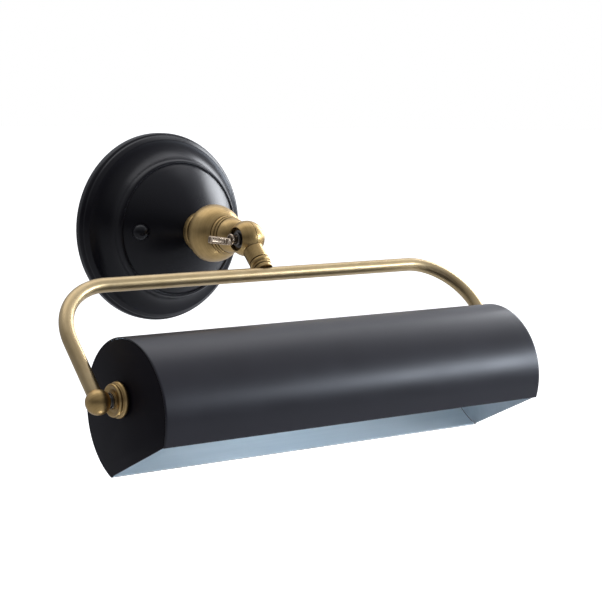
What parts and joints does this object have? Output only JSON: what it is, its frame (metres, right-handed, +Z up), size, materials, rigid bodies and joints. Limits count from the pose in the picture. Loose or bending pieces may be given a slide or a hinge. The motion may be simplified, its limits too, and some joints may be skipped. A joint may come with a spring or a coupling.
{
  "type": "picture light",
  "caption": "Wall picture light: round stepped canopy, turned brass boss and clamped knuckle, bent tube yoke with ball ends, and a half-open cylindrical shade that tilts on its end pivots.",
  "frame": {"origin": "centre of the crossbar's back face, in the wall plane, on the canopy's axis", "axes": "+Z up; +X along the shade, to the right for someone facing the light; the light stands out from the wall along -Y, so +Y points into the wall"},
  "size_m": [0.3538, 0.2517, 0.2074],
  "materials": {
    "black_enamel": "satin black enamel on spun or rolled sheet steel; the shade's inside is brushed bare metal",
    "antique_brass": "brushed and lacquered antique brass, darker in the grooves",
    "plated_steel": "zinc-plated steel, dull",
    "green_steel": "green-coloured steel ground screw",
    "porcelain": "glazed white porcelain",
    "lamp_glass": "frosted white lamp glass",
    "connector_plastic": "moulded orange plastic",
    "lead_insulation": "black wire insulation"
  },
  "bodies": {
    "wall_plate": {"crossbar": "plated_steel", "ground_screw": "green_steel", "canopy": "black_enamel", "canopy_stud_left": "plated_steel", "canopy_stud_right": "plated_steel", "ball_nut_left": "black_enamel", "ball_nut_right": "black_enamel", "supply_lead_left": "lead_insulation", "supply_lead_right": "lead_insulation", "wire_connector_left": "connector_plastic", "wire_connector_right": "connector_plastic", "nipple": "antique_brass", "lock_washer": "plated_steel", "nipple_locknut": "plated_steel", "seating_ring": "antique_brass", "turned_ball": "antique_brass", "check_ring": "antique_brass", "swivel_cup": "antique_brass", "knuckle_fixed_half": "antique_brass", "flat_washer": "plated_steel", "spring_washer": "plated_steel"},
    "thumb_screw": {"thumb_screw": "antique_brass"},
    "yoke": {"knuckle_moving_half": "antique_brass", "stem_collar": "antique_brass", "tube_saddle": "antique_brass", "yoke_tube": "antique_brass", "yoke_harness": "lead_insulation", "ball_end_left": "antique_brass", "ball_end_right": "antique_brass", "friction_washer_left": "plated_steel", "friction_washer_right": "plated_steel"},
    "shade": {"shade_shell": "black_enamel", "end_cap_left": "black_enamel", "end_cap_right": "black_enamel", "rosette_left": "antique_brass", "rosette_right": "antique_brass", "pivot_nipple_left": "plated_steel", "pivot_nipple_right": "plated_steel", "pivot_locknut_left": "plated_steel", "pivot_locknut_right": "plated_steel", "lamp_holder_left": "porcelain", "lamp_holder_right": "porcelain", "lamp_base_left": "plated_steel", "lamp_base_right": "plated_steel", "lamp_glass_left": "lamp_glass", "lamp_glass_right": "lamp_glass"}
  },
  "joints": [
    {"name": "thumb_screw_turn", "type": "hinge", "parent": "wall_plate", "child": "thumb_screw", "pos_m": [0, -0.1162, -0.001], "axis": [1, 0, 0], "range_deg": [-180, 180]},
    {"name": "knuckle_tilt", "type": "hinge", "parent": "wall_plate", "child": "yoke", "pos_m": [0, -0.1162, -0.001], "axis": [1, 0, 0], "range_deg": [-130, 40]},
    {"name": "shade_tilt", "type": "hinge", "parent": "yoke", "child": "shade", "pos_m": [0, -0.20162, -0.08642], "axis": [1, 0, 0], "range_deg": [-90, 90]}
  ]
}
